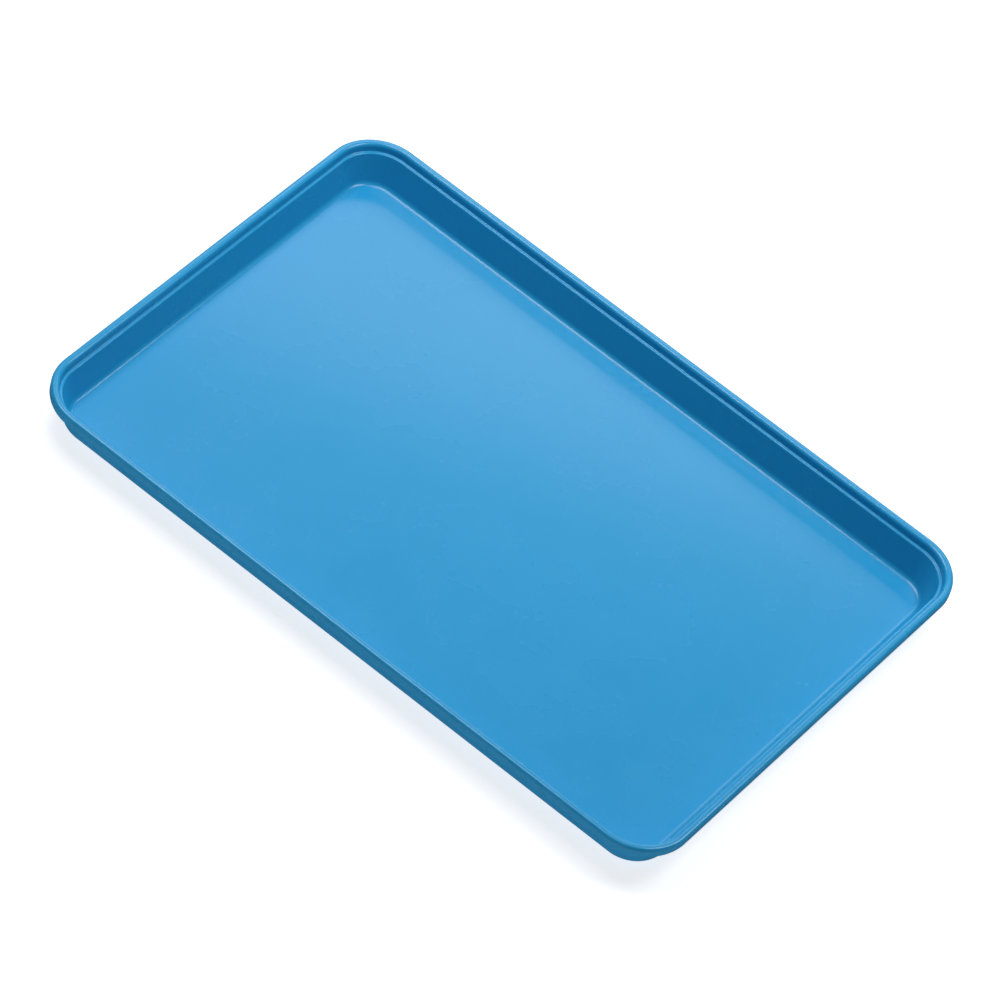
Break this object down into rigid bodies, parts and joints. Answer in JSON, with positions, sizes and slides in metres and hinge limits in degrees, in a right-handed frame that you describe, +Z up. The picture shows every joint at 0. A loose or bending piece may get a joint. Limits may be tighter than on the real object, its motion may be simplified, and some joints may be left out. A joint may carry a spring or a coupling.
{
  "type": "display tray",
  "caption": "Shallow moulded rectangular tray with round corners, a flat rim and a stepped stacking ledge, for carrying and displaying food or small goods.",
  "frame": {"origin": "middle of the flat underside, on the surface that the tray stands on", "axes": "+X along the long side, +Y along the short side, +Z up out of the open face"},
  "size_m": [0.451, 0.305, 0.028],
  "materials": {
    "moulded_blue": "semi-gloss moulded fibre-reinforced plastic, sky blue all through"
  },
  "bodies": {
    "root": {"tray": "moulded_blue"}
  },
  "joints": []
}
